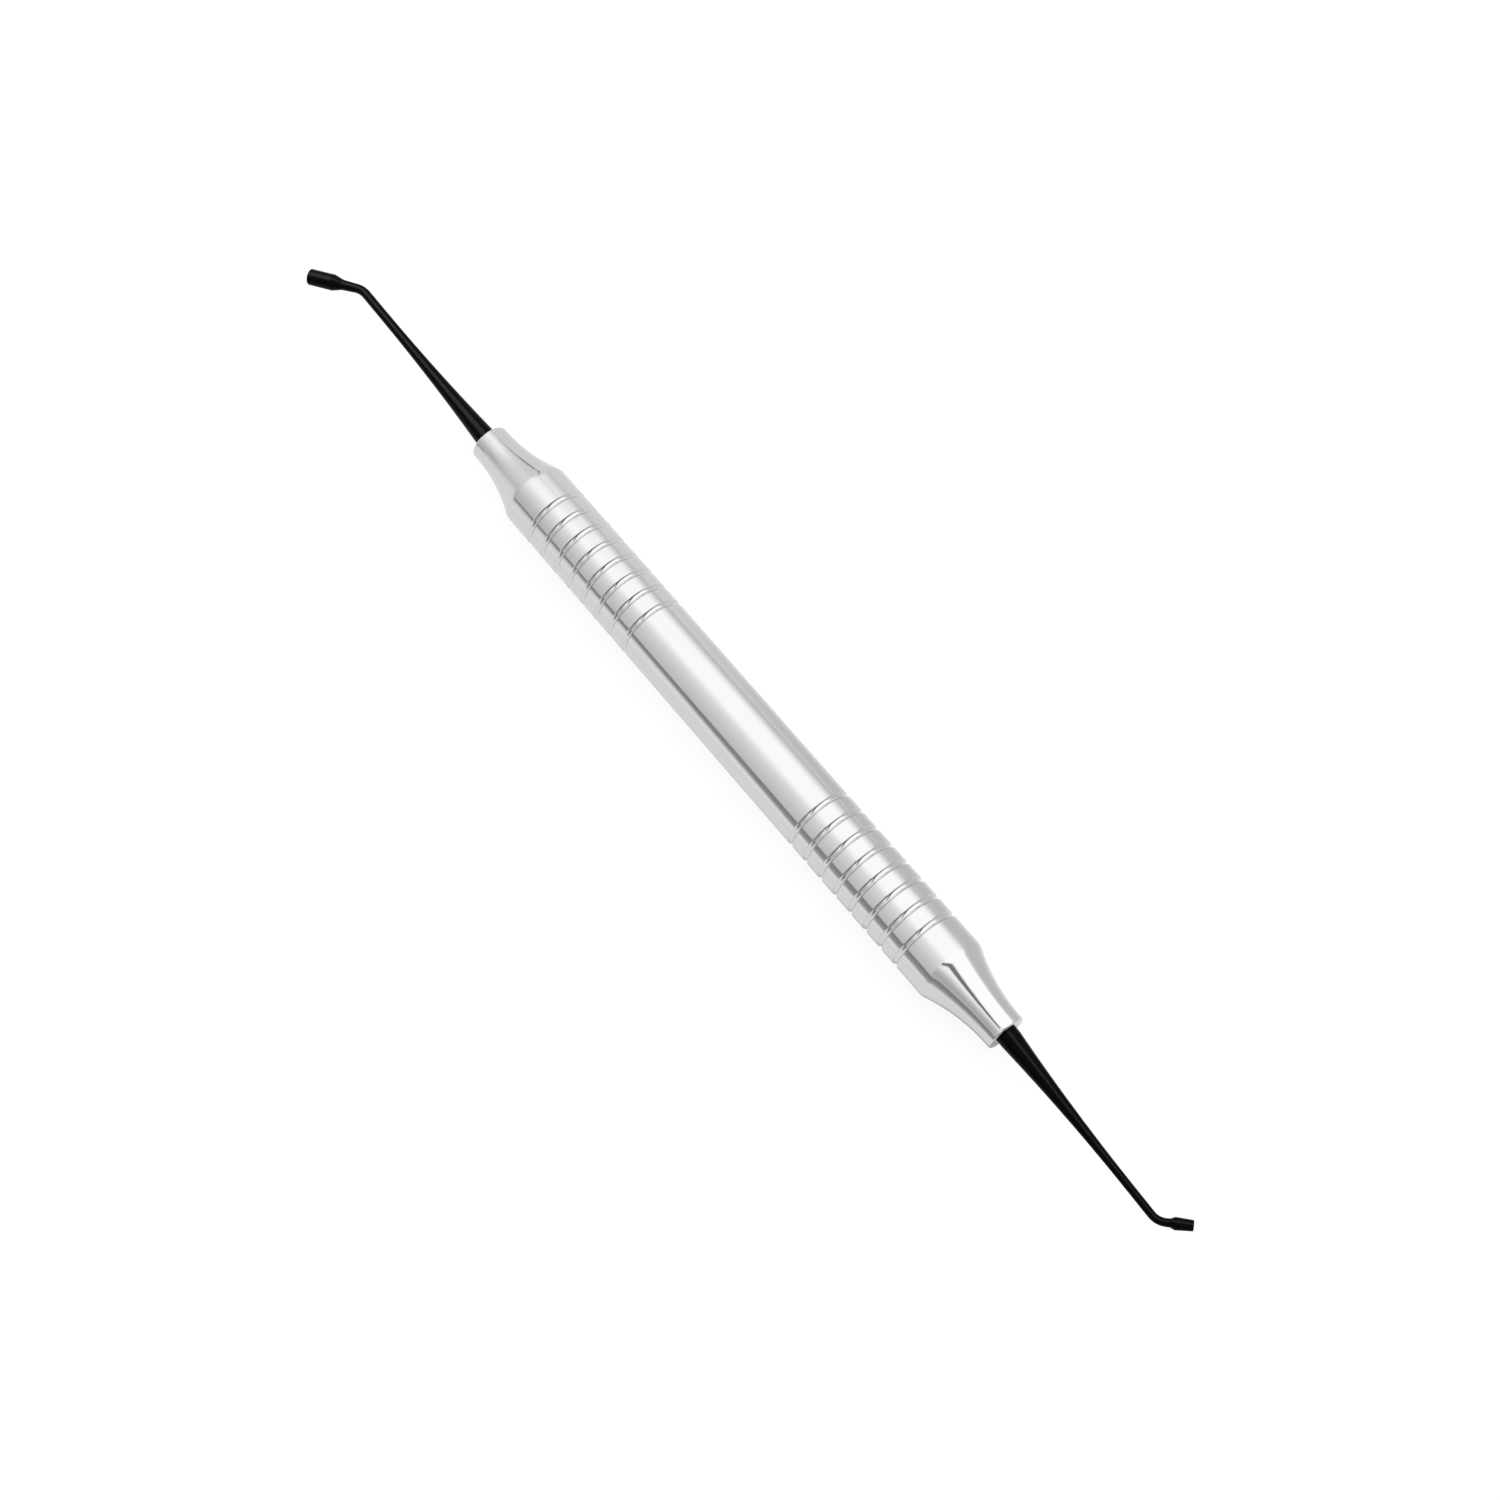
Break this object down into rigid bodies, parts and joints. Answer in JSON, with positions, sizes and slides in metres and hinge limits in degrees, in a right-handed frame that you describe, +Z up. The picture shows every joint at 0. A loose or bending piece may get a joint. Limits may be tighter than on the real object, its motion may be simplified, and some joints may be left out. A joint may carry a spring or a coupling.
{
  "type": "double-ended dental composite condenser",
  "caption": "Hand instrument: a round hollow steel handle with ring grooves and turned end cones carries a small and a large angled condenser nib, coated black.",
  "frame": {"origin": "middle of the handle, on its axis", "axes": "+X along the handle towards the small condenser, +Z up as it lies on a table; both nibs bend in the XY plane, the small one towards +Y and the large one towards -Y"},
  "size_m": [0.1829, 0.01, 0.01],
  "materials": {
    "handle_steel": "satin polished lengthwise",
    "cone_steel": "satin polished lengthwise",
    "black_coating": "satin black hard coating on steel"
  },
  "bodies": {
    "root": {"handle_tube": "handle_steel", "small_end_cone": "cone_steel", "large_end_cone": "cone_steel", "small_condenser": "black_coating", "large_condenser": "black_coating"}
  },
  "joints": []
}
